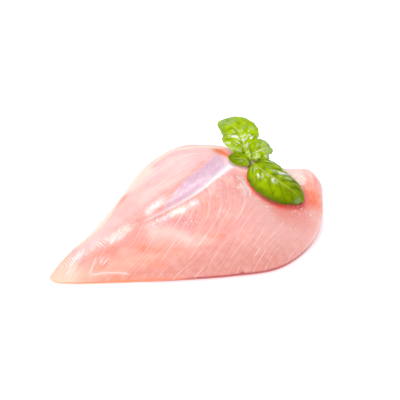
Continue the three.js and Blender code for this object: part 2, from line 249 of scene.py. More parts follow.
# Each side of a blade: how far it reaches, its fullness, and its skew towards the tip. Each patch of
# painted sheen, and each patch of glints, lies at a share of the length and of the width, and reaches so
# far along and across. Furrow shading says how dark the painted shade beside the side veins is on each
# side. A spine has plan places and heights over the meat where the leaf lies over_meat, and offsets from
# the joint where it stands free. The two youngest share the values of YOUNG.
YOUNG = {
    "young": 1, "steps": 36, "lanes": 24, "veins": 3, "furrow_shading": (0.4, 0.4),
    "dark_margin": 0.2, "sheen_patches": [], "glints": [(0.5, 0, 0.3, 0.6)],
}
LEAVES = {
    "lower": {
        "sides": [(19.5, 0.36, 0.4), (18.3, 0.52, 0.78)], "arch": 5, "quilt": 1.5, "veins": 5.5,
        "young": 0.2, "steps": 120, "lanes": 76, "over_meat": True, "sideways": (-0.86, -0.5, -0.05),
        "spine": [(182.4, 41.9, 7.2), (188.1, 30.1, 11.4), (193.5, 20.5, 12.6), (200.3, 12.6, 12),
                  (206.3, 8.1, 9), (210.7, 3.4, 4)],
        "furrow_shading": (0.8, 0.42), "dark_margin": 1, "wilted": 1,
        "sheen_patches": [(0.94, 0.4, 0.05, 0.4), (0.5, -1, 0.5, 0.08), (0.9, -0.85, 0.08, 0.2)],
        "glints": [(0.4, -0.66, 0.2, 0.28), (0.2, 0.4, 0.1, 0.2), (0.42, 0.15, 0.08, 0.12)],
    },
    "upper": {
        "sides": [(15.6, 0.5, 0.85), (18, 0.8, 1.15)], "arch": 4, "quilt": 1.5, "veins": 5,
        "young": 0.75, "steps": 110, "lanes": 72, "sideways": (1, 0.34, 0.2),
        "spine": [(-1.9, 4.6, 3), (-1.8, 12.5, 9.5), (-1.2, 22.2, 13), (-3.2, 31.2, 14.6),
                  (-8, 37.4, 15), (-13.4, 41.8, 14.4)],
        "furrow_shading": (0.42, 0.32), "dark_margin": 0.25,
        "sheen_patches": [(0.92, 0, 0.1, 0.7), (0.76, 0.3, 0.05, 0.35), (0.7, -0.95, 0.25, 0.12)],
        "glints": [(0.3, -0.5, 0.2, 0.4), (0.2, 0.5, 0.2, 0.4)],
    },
    "left": {
        "sides": [(8.4, 0.55, 0.75), (11, 0.6, 0.75)], "arch": 1.6, "quilt": 1, "veins": 3.5,
        "young": 0.1, "steps": 60, "lanes": 44, "over_meat": True, "sideways": (0.15, 1, 0.1),
        "spine": [(182.4, 48.6, 4.7), (175.7, 48.7, 5.1), (169.7, 49.1, 5.1), (163.9, 50.8, 3.5)],
        "furrow_shading": (0.6, 0.5), "dark_margin": 0.5, "sheen_patches": [], "glints": [(0.3, -0.5, 0.15, 0.25)],
    },
    "right": {
        "sides": [(14, 0.55, 1.2), (10.5, 0.36, 1.25)], "arch": 2.6, "quilt": 1, "veins": 4,
        "young": 0.7, "steps": 60, "lanes": 48, "sideways": (0.3, -0.9, -0.3),
        "spine": [(-0.1, 1.4, 2.6), (4.9, 0.8, 5.5), (10.4, 1.2, 7), (15.9, 1.4, 6.4),
                  (19.7, -0.8, 4)],
        "furrow_shading": (0.6, 0.45), "dark_margin": 0.3, "sheen_patches": [(0.85, 0, 0.22, 1.5)],
        "glints": [(0.3, 0.4, 0.3, 0.5)],
    },
    "young": {
        **YOUNG, "sides": [(3.6, 0.6, 0.8), (3.6, 0.6, 0.8)], "arch": 1.2, "quilt": 0.4,
        "sideways": (0.5, -0.8, 0.1), "spine": [(-1.2, -4.4, 3), (2.5, -5.9, 6.5), (6.9, -5.9, 7)],
    },
    "bud": {
        **YOUNG, "sides": [(2.8, 0.6, 0.8), (2.8, 0.6, 0.8)], "arch": 0.8, "quilt": 0.3,
        "sideways": (0.9, 0.3, 0.2), "spine": [(-2, -4.6, 2.8), (-2.8, -1.6, 6.5), (-2.4, 2.2, 10.5)],
    },
}


def mix(a, b, t):
    return a + (b - a) * t


def clamp(t):
    return np.clip(t, 0, 1)


def bump(t):
    return np.exp(-(t**2))


def ease(t):
    return clamp(t) ** 2 * (3 - 2 * clamp(t))


def round_off(t, power=2):
    return np.sqrt(np.maximum(0, 1 - clamp(t) ** power))


def crowd(t, share):
    return mix(t, (1 - np.cos(np.pi * t)) / 2, share)


def between(x, start, end, blend):
    """A window that is 1 from start to end and eases to 0 outside them."""
    return ease((x - start) / blend + 1) * ease((end - x) / blend + 1)


def noise(x, y, grain, seed):
    """Smooth noise from -1 to 1 whose lumps are about a grain across."""
    side = 64
    lattice = np.random.default_rng(seed).uniform(-1, 1, (side, side))
    i = np.floor(x / grain).astype(int)
    j = np.floor(y / grain).astype(int)
    s = ease(x / grain - i)
    t = ease(y / grain - j)
    near = mix(lattice[i % side, j % side], lattice[(i + 1) % side, j % side], s)
    far = mix(lattice[i % side, (j + 1) % side], lattice[(i + 1) % side, (j + 1) % side], s)
    return mix(near, far, t)


def hermite(p1, p2, v1, v2, w):
    """A smooth step from one place to the next that leaves and arrives with these speeds."""
    return mix(p1, p2, w**2 * (3 - 2 * w)) + w * (1 - w) * ((1 - w) * v1 - w * v2)


def lengths_along(places):
    """How far along its line each place lies."""
    return np.concatenate([[0], np.cumsum(np.linalg.norm(np.diff(places, axis=0), axis=1))])


def even_places(places, shares):
    """Places at shares of the length of a finely cut line."""
    lengths = lengths_along(places)
    return np.stack([np.interp(shares * lengths[-1], lengths, axis) for axis in places.T], axis=-1)


def edge_curve(shares, reach):
    """One side of the plan outline: a smooth curve from the tip to the blunt end, finely cut."""
    points = np.array([TIP, *[(x * FILLET_LENGTH, y * reach) for x, y in shares], END], float)
    padded = np.concatenate([points[:1], points, points[-1:]])
    cuts = np.linspace(0, 1, EDGE_CUTS)[:, None]
    parts = [
        hermite(p1, p2, (p2 - p0) / 2, (p3 - p1) / 2, cuts)
        for p0, p1, p2, p3 in zip(padded, padded[1:], padded[2:], padded[3:])
    ]
    return np.concatenate(parts)


def spine_curve(points, shares):
    """A smooth curve through a leaf's or stalk's points, evenly cut."""
    points = np.array(points, float)
    padded = np.concatenate([[2 * points[0] - points[1]], points, [2 * points[-1] - points[-2]]])
    cuts = np.linspace(0, 1, SPINE_CUTS)[:, None]
    parts = []
    for p0, p1, p2, p3 in zip(padded, padded[1:], padded[2:], padded[3:]):
        d0, d1, d2 = [math.sqrt(np.linalg.norm(b - a)) for a, b in ((p0, p1), (p1, p2), (p2, p3))]
        v1 = ((p1 - p0) / d0 - (p2 - p0) / (d0 + d1) + (p2 - p1) / d1) * d1
        v2 = ((p2 - p1) / d1 - (p3 - p1) / (d1 + d2) + (p3 - p2) / d2) * d1
        parts.append(hermite(p1, p2, v1, v2, cuts))
    return even_places(np.concatenate(parts), shares)


def smooth_height(stations, x):
    """A smooth height over x through a few stations."""
    xs, zs = np.array(stations, float).T
    slopes = np.concatenate([
        [(zs[1] - zs[0]) / (xs[1] - xs[0])],
        (zs[2:] - zs[:-2]) / (xs[2:] - xs[:-2]),
        [(zs[-1] - zs[-2]) / (xs[-1] - xs[-2])],
    ])
    i = np.clip(np.searchsorted(xs, x) - 1, 0, len(xs) - 2)
    span = xs[i + 1] - xs[i]
    w = clamp((x - xs[i]) / span)
    return hermite(zs[i], zs[i + 1], span * slopes[i], span * slopes[i + 1], w)


def along_line(x, y, line):
    """How far places lie from a line of plan places, and at which share of its length."""
    best = np.full(x.shape, np.inf)
    share = np.zeros(x.shape)
    lengths = lengths_along(line)
    for (ax, ay), (bx, by), start, end in zip(line, line[1:], lengths, lengths[1:]):
        t = clamp(((x - ax) * (bx - ax) + (y - ay) * (by - ay)) / (end - start) ** 2)
        distance = np.hypot(x - mix(ax, bx, t), y - mix(ay, by, t))
        closer = distance < best
        best = np.where(closer, distance, best)
        share = np.where(closer, mix(start, end, t) / lengths[-1], share)
    return best, share


def mark(x, y, line, width, fade=0.15):
    """A soft line of a half width in millimetres that fades out at both ends."""
    distance, share = along_line(x, y, line)
    return bump(distance / width) * ease(share / fade) * ease((1 - share) / fade)


def in_spots(x, y, spots):
    """Soft round spots."""
    return clamp(sum(bump(np.hypot(x - spot_x, y - spot_y) / radius) for spot_x, spot_y, radius in spots))


def seam_y(x):
    run = x - SEAM["start"]
    return SEAM["y"] + SEAM["slope"] * run + SEAM["bend"] * run**2


def relief(x, y):
    """Raised and sunken forms of the top, as in the part's source."""
    beyond = y - seam_y(x)
    along_seam = between(x, SEAM["start"], SEAM["end"], SEAM["blend"])
    seam = -SEAM["depth"] * bump(beyond / SEAM["width"]) * along_seam
    along_patch = between(x, PATCH["start"], SEAM["end"], PATCH["blend"])
    patch = -PATCH["depth"] * bump((beyond - PATCH["beyond"]) / PATCH["width"]) * along_patch
    swell = SWELL["height"] * bump((beyond - SWELL["beyond"]) / SWELL["width"]) * along_seam
    hollow_y = HOLLOW["y"] + HOLLOW["bend"] * (x - HOLLOW["x"]) ** 2
    along_hollow = between(x, HOLLOW["start"], HOLLOW["end"], HOLLOW["blend"])
    hollow = -HOLLOW["depth"] * bump((y - hollow_y) / HOLLOW["width"]) * along_hollow
    dimple = -DIMPLE["depth"] * bump(np.hypot(x - DIMPLE["x"], y - DIMPLE["y"]) / DIMPLE["radius"])
    lumps = sum(np.sin(x / a + y / b + shift) for a, b, shift in LUMPS["waves"])
    return seam + patch + swell + hollow + dimple + LUMPS["height"] * lumps


def crimps(x, y):
    """Short crimps of the film across the thin end: their place, 0 to 1, and their wave, -1 to 1."""
    place = mark(x, y, CRIMPED_LINE, CRIMPED_WIDTH, 0.1)
    wave = np.sin(2 * np.pi * ((x + 0.48 * y) / CRIMP_SPACING + 0.7 * noise(x, y, 8, 4)))
    return place * clamp(0.4 + 1.1 * noise(x, y, 3, 5)), wave


def juice_highlights(x, y):
    """Painted highlights of juice streaking along the fibres, in a few places."""
    across, along = fibre_place(x, y)
    place = clamp(sum(mark(x, y, line, width) for line, width in SMEARED_LINES))
    return place * ease((noise(across, 0.16 * along, 0.85, 12) + 0.15 * noise(x, y, 4, 13)) / 0.35)


def fine_relief(x, y):
    """Relief too fine for the part's source: dents, crimps, a raised seam of fat and sunken septa."""
    along_seam = between(x, SEAM["start"] + 20, SEAM["end"], 30)
    fat = FINE["fat"] * bump((y - seam_y(x)) / FINE["fat_width"]) * along_seam
    dents = FINE["broad_dents"] * noise(x, y, 11, 1) + FINE["small_dents"] * noise(x, y, 5, 2)
    septa = -FINE["septa"] * sum(mark(x, y, line, FINE["septum_width"]) for line in WHITE_SEPTA)
    threads = FINE["threads"] * sum(mark(x, y, line, FINE["thread_width"]) for line in NEAR_THREADS)
    crimped, wave = crimps(x, y)
    return fat + dents + septa + threads + FINE["crimps"] * crimped * wave


def lip_height(x, across):
    to_tip = clamp((LIP["tip_blend"] - x) / LIP["tip_blend"]) ** LIP["power"]
    to_end = clamp((x - FILLET_LENGTH + LIP["end_blend"]) / LIP["end_blend"]) ** LIP["power"]
    return mix(mix(mix(LIP["near"], LIP["far"], across), LIP["tip"], to_tip), LIP["end"], to_end)


def top_height(x, y, across):
    crest = [(s * FILLET_LENGTH, z * CREST_HEIGHT) for s, z in CREST]
    lip = lip_height(x, across)
    flank = round_off((across - FLANK_START) / (1 - FLANK_START))
    end = round_off((x - FILLET_LENGTH) / END_ROUND + 1, END_ROUND_POWER)
    tip = round_off(1 - x / TIP_ROUND)
    swollen = np.maximum(0, smooth_height(crest, x) - lip) * across**RISE_POWER
    in_sides = ease(across / SIDE_MARGIN) * ease((1 - across) / SIDE_MARGIN)
    in_ends = ease(x / TIP_MARGIN) * ease((FILLET_LENGTH - x) / END_MARGIN)
    return lip + (swollen + (relief(x, y) + fine_relief(x, y)) * in_sides * in_ends) * flank * end * tip


def base_height(x, y, across, outline):
    """The underside is flat and curls up to the lip in a quarter round."""
    lip = lip_height(x, across)
    inset = along_line(x, y, outline)[0]
    return lip * (1 - round_off(1 - inset / (CURL_SHARE * lip)))


def ring_faces(rings, around, first=0):
    """The faces that join rings of so many points, which start at a first one."""
    corners = [(first + r * around + k, first + r * around + (k + 1) % around)
               for r in range(rings - 1) for k in range(around)]
    return [(a, a + around, b + around, b) for a, b in corners]


def fillet_form():
    """Rings round the fillet from its tip to its blunt end: places, faces and the finish's masks."""
    near_edge = edge_curve(NEAR_EDGE, NEAR_REACH)
    far_edge = edge_curve(FAR_EDGE, FAR_REACH)
    around = TOP_LANES + BASE_LANES
    steps = crowd(np.arange(1, ROWS) / ROWS, CROWD_ROWS)
    near = even_places(near_edge, steps)[:, None, :]
    far = even_places(far_edge, steps)[:, None, :]
    lane = np.arange(around)
    on_top = lane <= TOP_LANES
    top_share = crowd(clamp(lane / TOP_LANES), CROWD_TOP)
    base_share = crowd(clamp((around - lane) / BASE_LANES), CROWD_BASE)
    across = np.broadcast_to(np.where(on_top, top_share, base_share), (ROWS - 1, around))
    plan = mix(near, far, across[..., None])
    x = plan[..., 0]
    y = plan[..., 1]
    z = top_height(x, y, across)
    below = ~on_top
    outline = np.concatenate([near_edge[::4], far_edge[::-4]])
    z[:, below] = base_height(x[:, below], y[:, below], across[:, below], outline)
    rings = np.stack([x, y, z], axis=-1)
    places = np.concatenate([[(*TIP, LIP["tip"])], rings.reshape(-1, 3), [(*END, LIP["end"])]])
    faces = ring_faces(ROWS - 1, around, 1)
    last = len(places) - 1
    for k in range(around):
        after = (k + 1) % around
        faces.append((0, 1 + k, 1 + after))
        faces.append((last, last - around + after, last - around + k))
    girth = np.cumsum(np.linalg.norm(np.diff(rings, axis=1, prepend=rings[:, :1]), axis=2), axis=1)
    over_top = girth / girth[:, TOP_LANES : TOP_LANES + 1]
    side = np.concatenate([[0], over_top.ravel(), [0]])
    under = np.concatenate([[0], np.broadcast_to(below, across.shape).ravel(), [0]])
    return places, faces, fillet_masks(places, side, under)


# How the fibres turn: their run along the fillet for each millimetre across, far from the seam and by it,
# and how the fibres' own coordinates are scaled to millimetres.
FIBRE_RUN = {"tip": 2, "end": 1.4, "start": 70, "blend": 60}
FIBRE_TURN = {"amount": 1.9, "y": -14, "width": 46, "x": 120, "lag": 0.1}
FIBRE_SCALE = {"across": 0.66, "along": 1.4}
FAR_FIBRES_ACROSS = 148.8


def fibre_place(x, y):
    """Millimetres across and along the fibres on the near side of the seam."""
    lag = FIBRE_TURN["lag"] * np.maximum(0, x - FIBRE_TURN["x"])
    turned = (y - FIBRE_TURN["y"] - lag) / FIBRE_TURN["width"]
    t = clamp(turned)
    easing = np.where(turned > 1, turned - 0.5, t**3 - t**4 / 2)
    slant = mix(FIBRE_RUN["tip"], FIBRE_RUN["end"], ease((x - FIBRE_RUN["start"]) / FIBRE_RUN["blend"]))
    run = slant * y - FIBRE_TURN["amount"] * FIBRE_TURN["width"] * easing
    return (x - run) * FIBRE_SCALE["across"], y * FIBRE_SCALE["along"]


def fillet_masks(places, side, under):
    """Where each mark of the meat lies, and its fibres' own coordinates, point by point."""
    x = places[:, 0]
    y = places[:, 1]
    ragged = noise(x, y, 6, 3)
    beyond = y - seam_y(x)
    measures = {"x": x, "y": y, "side": side, "beyond": beyond, "skewed": x + y / 2,
                "ragged_x": x - 6 * ragged}
    zones = {name: math.prod(ease((measures[measure] - start) / (full - start))
                             for measure, start, full in slopes)
             for name, slopes in ZONES.items()}
    marks = {name: sum(mark(x, y, line, width, fade) for line in lines)
             for name, (lines, width, fade) in LINE_MARKS.items()}
    orange = sum(strength * mark(x, y, line, width, 0.3) for line, width, strength in ORANGE_LINES)
    pale = sum(strength * mark(x, y, line, width, 0.25) for line, width, strength in PALE_LINES)

    opened = FILM["width"] * clamp((x - FILM["opens"]) / FILM["opening"]) ** FILM["power"]
    film_width = opened + FILM["flare"] * np.maximum(0, x - FILM["flare_from"])
    film = zones["film"] * ease((film_width - beyond + FILM["ragged"] * ragged) / FILM["edge"])
    paling = (x - FILM["pale_from"]) / FILM["pale_blend"] + FILM["pale_ragged"] * noise(x - 0.9 * y, y, 6, 6)
    seam_width = mix(FAT_SEAM["thin"], FAT_SEAM["thick"], zones["seam_thickens"]) + zones["seam_spreads"]
    seam = mix(FAT_SEAM["least"], 1, zones["seam_whitens"]) * bump((beyond + FAT_SEAM["before"]) / seam_width)
    off_spot = np.hypot(x - PALE_SPOT["x"], y - PALE_SPOT["y"]) + PALE_SPOT["ragged"] * noise(x, y, 4, 8)
    pale_spot = PALE_SPOT["strength"] * ease((PALE_SPOT["radius"] - off_spot) / PALE_SPOT["edge"])
    over_edge = side * TOP_GIRTH
    lip_reach = LIP_REACH + NICK["reach"] * bump((x - NICK["x"]) / NICK["width"])
    # painted highlights along the wet lines
    wet = marks["wet"] * clamp(0.75 + 0.55 * noise(x + y, x - y, 2.6, 7))
    crimped, wave = crimps(x, y)
    on_top = {
        "upper": zones["upper"],
        "rosy": marks["rosy"],
        # the flesh's orange tone, with painted shade under the upper leaf and a painted glow at the blunt end
        "orange_tint_shade_and_glow": clamp(orange * (0.85 + 0.3 * ragged)),
        "film": film * mix(FILM["thin_share"], 1, zones["film_thickens"]) * (1 - 0.9 * marks["dimple"]),
        "film_pale": film * ease(paling),
        "film_threads": film * ease(0.4 + noise(x - y, (x + y) / 5, 0.8, 10)),
        "dimple": marks["dimple"],
        "pale": clamp(pale + pale_spot),
        "rim_fat": clamp(marks["rim"] + 0.4 * marks["rim_shoulder"]),
        "seam": seam * zones["seam"],
        "septa": clamp(marks["septa"] * (0.38 + 0.4 * ragged) + 0.75 * marks["threads"]),
        "fold_shade": clamp(crimped * (0.5 - 0.5 * wave) ** 2),
        # the film's whitish fold ridges, with painted highlights on their crests, the juice streaks and the
        # wet lines
        "fold_ridges_and_highlights": clamp(crimped * (0.5 + 0.5 * wave) ** 2 + 0.7 * juice_highlights(x, y) + wet),
        # painted contact shadow along the near lip
        "lip": bump(over_edge / lip_reach) * zones["lip"],
        "low_orange": bump(over_edge / LOW_ORANGE_REACH) * zones["low_orange"],
        "rim_light": marks["rim_light"],
        "wet": clamp(crimped + 0.2 * film + zones["below_seam"]),
        # painted light that lifts the shade under the leaves
        "painted_light": in_spots(x, y, PAINTED_LIGHT_SPOTS),
        "beaded": in_spots(x, y, BEADED_SPOTS),
    }
    masks = {name: (1 - under) * values for name, values in on_top.items()}
    for name in ("near_thick_end_shade", "peach", "near_edge_shade", "tip_fat"):
        masks[name] = zones[name]
    masks["under_lip_shadow"] = under * zones["under_lip_shadow"]
    for name, strength in STRENGTHS.items():
        masks[name] = strength * masks[name]
    masks["far_side"] = np.maximum(zones["past_seam"], zones["left_far"])
    masks["near_side"] = 1 - np.maximum(masks["far_side"], 0.75 * zones["smooth_end"])
    across, along = fibre_place(x, y)
    masks["fibres"] = np.stack([across, along, 0 * x], axis=-1)
    masks["far_fibres"] = np.stack([side * FAR_FIBRES_ACROSS, x, 0 * x], axis=-1)
    masks["place"] = places
    return masks


def make_piece(name, places, faces, masks, material, node, origin):
    """A smooth mesh that stands for a node. Its places are millimetres from an origin in the frame."""
    mesh = bpy.data.meshes.new(name)
    mesh.from_pydata(((places + origin) * MM).tolist(), [], faces)
    for mask, values in masks.items():
        vector = np.ndim(values) == 2
        attribute = mesh.attributes.new(mask, "FLOAT_VECTOR" if vector else "FLOAT", "POINT")
        attribute.data.foreach_set("vector" if vector else "value", np.asarray(values, np.float32).ravel())
    mesh.shade_smooth()
    mesh.materials.append(material)
    piece = bpy.data.objects.new(name, mesh)
    bpy.context.scene.collection.objects.link(piece)
    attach(piece, "root")
    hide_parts(node)


def half_width(leaf, along, side):
    """How far a leaf's blade reaches at a share of its length, with a faintly toothed margin."""
    teeth = 1 + TOOTH_DEPTH * np.sin(2 * np.pi * TEETH * along)
    halves = [np.maximum(LEAST_HALF_WIDTH, reach * np.sin(np.pi * along**skew) ** fullness * teeth)
              for reach, fullness, skew in leaf["sides"]]
    return np.where(side < 0, halves[0], halves[1])


def vein_phase(leaf, along, reach):
    """Whole on each side vein, a half more midway to the next."""
    return leaf["veins"] * (along - VEIN_SLANT * reach**VEIN_CURVE)


def vein_wave(leaf, along, reach):
    """0 on the side veins, 1 on the puffed flesh between them."""
    return np.abs(np.sin(np.pi * vein_phase(leaf, along, reach)))


def blade_rise(leaf, along, side):
    """How far a point of the blade stands off the plane through its midrib, side from -1 to 1."""
    reach = np.abs(side)
    body = half_width(leaf, along, side) / np.where(side < 0, leaf["sides"][0][0], leaf["sides"][1][0])
    midrib = -MIDRIB_DEPTH * bump(side / MIDRIB_WIDTH)
    quilt = leaf["quilt"] * vein_wave(leaf, along, reach) * (1 - reach**3) * ease(reach / QUILT_MARGIN)
    return (midrib + quilt - leaf["arch"] * reach**ARCH_POWER) * body


def unit(vectors):
    return vectors / np.linalg.norm(vectors, axis=-1, keepdims=True)


def patches(spots, along, side):
    """Soft patches of a blade, each at a share of its length and width."""
    return sum(bump((along - a) / c) * bump((side - b) / d) for a, b, c, d in spots)


def leaf_masks(leaf, along, side, run, length):
    """Where each mark of a blade lies, on its upper face and then on its lower one."""
    reach = np.abs(side)
    off_vein = (vein_phase(leaf, along, reach) + 0.5) % 1 - 0.5
    depth = np.where(side < 0, *leaf["furrow_shading"]) * (0.7 + 0.6 * noise(along * length, run, 6, 14))
    # painted shade on the side of each side vein that faces away from the light
    furrow_shade = depth * bump((off_vein + FURROW_LAG) / FURROW_WIDTH)
    strokes = noise((along - VEIN_SLANT * reach**VEIN_CURVE) * length + 40, 0.55 * run + 40, 1.3, 9)
    glossy = clamp(1.4 * patches(leaf["glints"], along, side)) * ease((strokes - 0.12) / 0.3)
    # The margin stain: painted shade where the near side of the blade curls under, a thin darker rim along
    # the far edge, and painted shade at the base, where the leaves overlap.
    broad_margin = ease((reach - BROAD_MARGIN) / (1 - BROAD_MARGIN))
    fine_margin = 0.5 * ease((reach - FINE_MARGIN) / (1 - FINE_MARGIN))
    margin = leaf["dark_margin"] * np.where(side > 0, broad_margin, fine_margin)
    base = (0.9 - 0.4 * leaf["young"]) * bump(along * length / 2.2) * ease((reach - 0.1) / 0.4)
    masks = {
        "furrow_shade": clamp(furrow_shade * ease((reach - 0.03) / 0.15) * ease((1 - reach) / 0.25)),
        "midrib": bump(run / MIDRIB_LINE) * ease((1.02 - along) / 0.5),
        "margin": np.maximum(margin, base),
        "ripe": (1 - leaf["young"]) * ease((along - 0.3) / 0.6),
        "painted_sheen": clamp(patches(leaf["sheen_patches"], along, side)),
        "wilted": leaf.get("wilted", 0) * ease((along - WILTED_FROM) / 0.02) * ease((side - 0.2) / 0.4),
        "young": leaf["young"],
        "glint": glossy * ease(vein_wave(leaf, along, reach) / 0.6),
    }
    masks = {name: np.tile(np.broadcast_to(values, run.shape).ravel(), 2) for name, values in masks.items()}
    blade = np.stack([along * length + 0 * run, run, 0 * run], axis=-1)
    masks["blade"] = np.tile(blade.reshape(-1, 3), (2, 1))
    masks["underface"] = np.repeat([0, 1], run.size)
    return masks


def leaf_form(leaf, spine):
    """A thin wavy blade along its spine: places, faces and the finish's masks."""
    steps = leaf["steps"]
    lanes = leaf["lanes"]
    shares = np.linspace(0, 1, steps + 1)
    midrib = spine_curve(spine, shares)
    nearby = 0.002
    ahead = unit(spine_curve(spine, clamp(shares + nearby)) - spine_curve(spine, clamp(shares - nearby)))
    sideways = unit(np.array(leaf["sideways"], float))
    lateral = unit(sideways - ahead * (ahead @ sideways)[:, None])
    up = unit(np.cross(lateral, ahead))[:, None, :]
    along = shares[:, None]
    side = np.linspace(-1, 1, lanes + 1)[None, :]
    run = half_width(leaf, along, side) * side
    rise = blade_rise(leaf, along, side)
    grid = midrib[:, None, :] + lateral[:, None, :] * run[..., None] + up * rise[..., None]
    half = LEAF_THICKNESS / 2 * up * np.maximum(MARGIN_SHARE, round_off(np.abs(side), 6))[..., None]
    places = np.concatenate([grid + half, grid - half]).reshape(-1, 3)
    row = lanes + 1
    under = (steps + 1) * row
    corners = [i * row + j for i in range(steps) for j in range(lanes)]
    rim = [*range(lanes), *range(lanes, under - 1, row), *range(under - 1, steps * row, -1),
           *range(steps * row, 0, -row), 0]
    faces = [(a, a + 1, a + row + 1, a + row) for a in corners]
    faces += [(under + a, under + a + row, under + a + row + 1, under + a + 1) for a in corners]
    faces += [(a, under + a, under + b, b) for a, b in zip(rim, rim[1:])]
    return places, faces, leaf_masks(leaf, along, side, run, lengths_along(midrib)[-1])


def stalk_form(path, radius):
    """A round stalk that narrows to small flat ends."""
    shares = np.linspace(0, 1, STALK_RINGS)
    at = spine_curve(path, shares)
    ahead = unit(np.gradient(at, axis=0))
    lateral = unit(np.cross(ahead, (0.3, 0.2, 1)))
    up = np.cross(lateral, ahead)
    turn = np.linspace(0, 2 * np.pi, STALK_SIDES, endpoint=False)
    swell = np.maximum(STALK_END_SHARE, round_off(np.abs(2 * shares - 1), 24))[:, None, None]
    ring = np.cos(turn)[None, :, None] * lateral[:, None] + np.sin(turn)[None, :, None] * up[:, None]
    places = (at[:, None] + ring * swell * radius).reshape(-1, 3)
    last = len(places)
    caps = [tuple(range(STALK_SIDES)), tuple(range(last - 1, last - STALK_SIDES - 1, -1))]
    return places, caps + ring_faces(STALK_RINGS, STALK_SIDES)


def joined(forms):
    """Several forms as one."""
    places = []
    faces = []
    for form_places, form_faces in forms:
        start = len(places)
        places.extend(form_places)
        faces.extend(tuple(start + corner for corner in face) for face in form_faces)
    return np.array(places), faces


def linear(hex_colour):
    """An sRGB hex colour as a linear one."""
    shares = [int(hex_colour[i : i + 2], 16) / 255 for i in (1, 3, 5)]
    return [s / 12.92 if s <= 0.04045 else ((s + 0.055) / 1.055) ** 2.4 for s in shares] + [1]


def add(tree, kind, settings, links=None):
    """Add a node with its settings and links, each by the name or number of its socket or property."""
    node = tree.nodes.new("ShaderNode" + kind)
    for name, value in settings.items():
        if isinstance(name, int) or name in node.inputs:
            node.inputs[name].default_value = value
        else:
            setattr(node, name, value)
    for name, source in (links or {}).items():
        tree.links.new(source, node.inputs[name])
    return node


def new_material(name):
    material = bpy.data.materials.new(name)
    material.use_nodes = True
    tree = material.node_tree
    tree.nodes.clear()
    return material, tree


# Sockets of the Mix node, for colours and for numbers.
MIX_A = 6
MIX_B = 7
MIX_RESULT = 2
NUMBER_A = 2
NUMBER_B = 3


def mask_values(tree, names):
    """The masks that a mesh keeps under these names."""
    return {name: add(tree, "Attribute", {"attribute_name": name}).outputs["Fac"] for name in names}


def stained(tree, plain, layers):
    """A plain colour with stains laid on it in turn, each by its own amount."""
    below = {}
    for amount, stain in layers:
        laid = add(tree, "Mix", {"data_type": "RGBA", MIX_A: linear(plain), MIX_B: linear(stain)},
                   {0: amount, **below})
        below = {MIX_A: laid.outputs[MIX_RESULT]}
    return laid.outputs[MIX_RESULT]


# Stains of the flesh, in the order in which they lie on it, each with its mask.
FLESH_ROSE = "#ea9a94"
FLESH_PEACH = "#f0a596"
UNDER_FILM = {
    "upper": "#f0bfbd",
    # painted shade: darker over the near side of the thick end, where the light falls off
    "near_thick_end_shade": "#ebaea6",
    "peach": "#f4b19a",
    # painted shade: darker towards the near edge, where the top slopes away from the light
    "near_edge_shade": "#de9084",
    "rosy": "#e88a8c",
    # the flesh's orange tone, with painted shade under the upper leaf and a painted glow at the blunt end
    "orange_tint_shade_and_glow": "#f47e5a",
}
ON_TOP = {
    "film": "#d7abc0",
    "film_pale": "#e6c6d4",
    "film_threads": "#f7e6ea",
    "dimple": "#ea7848",
    "tip_fat": "#f9d4bc",
    # paler fat and film, in part painted sheen and painted light
    "pale": "#fce2d6",
    "rim_fat": "#fbe2d0",
    "seam": "#fdf4f8",
    "septa": "#f7dfdd",
    "fold_shade": "#f2a184",
    # the film's whitish fold ridges and painted highlights of the wet film
    "fold_ridges_and_highlights": "#fdeceb",
    # painted contact shadow along the near lip
    "lip": "#a03c44",
    "low_orange": "#f08a58",
    # painted shadow on the underside curl
    "under_lip_shadow": "#c0605c",
    # painted red shadow of the lower leaf on the meat
    "leaf_painted_shadow": "#e2503e",
    "rim_light": "#ffe6e2",
}


# Millimetres between the septa, the fibre bundles and the threads of the far side.
SEPTUM_SPACING = 5.6
BUNDLE_SPACING = 2.1
THREAD_SPACING = 3.1
# Millimetres across and along the strands and the broad bands of them, before and beyond the seam.
STRANDS = ((1.1, 20), (1.6, 26))
BANDS = ((4.5, 45), (6, 60))


def streaks(tree, fibres, across, along):
    """Soft streaks this many millimetres across and along the fibres."""
    cells = add(tree, "VectorMath", {"operation": "MULTIPLY", 1: (1 / across, 1 / along, 0)}, {0: fibres})
    return add(tree, "TexNoise", {"noise_dimensions": "2D", "Scale": 1, "Detail": 1},
               {"Vector": cells.outputs[0]}).outputs["Fac"]


def thin_lines(tree, fibres, spacing, sharpness):
    """Thin lines along the fibres, which wander and come and go."""
    drift = streaks(tree, fibres, 12, 60)
    across = add(tree, "SeparateXYZ", {}, {0: fibres}).outputs[0]
    evenly = add(tree, "Math", {"operation": "MULTIPLY", 1: math.pi / spacing}, {0: across}).outputs[0]
    wandering = add(tree, "Math", {"operation": "MULTIPLY_ADD", 1: 6}, {0: drift, 2: evenly}).outputs[0]
    wave = add(tree, "Math", {"operation": "SINE"}, {0: wandering}).outputs[0]
    ridge = add(tree, "Math", {"operation": "ABSOLUTE"}, {0: wave}).outputs[0]
    line = add(tree, "MapRange", {"interpolation_type": "SMOOTHSTEP", "From Min": sharpness, "From Max": 0},
               {"Value": ridge}).outputs[0]
    shown = add(tree, "MapRange", {"From Min": 0.37, "From Max": 0.6},
                {"Value": streaks(tree, fibres, spacing, 24)}).outputs[0]
    return add(tree, "Math", {"operation": "MULTIPLY"}, {0: line, 1: shown}).outputs[0]


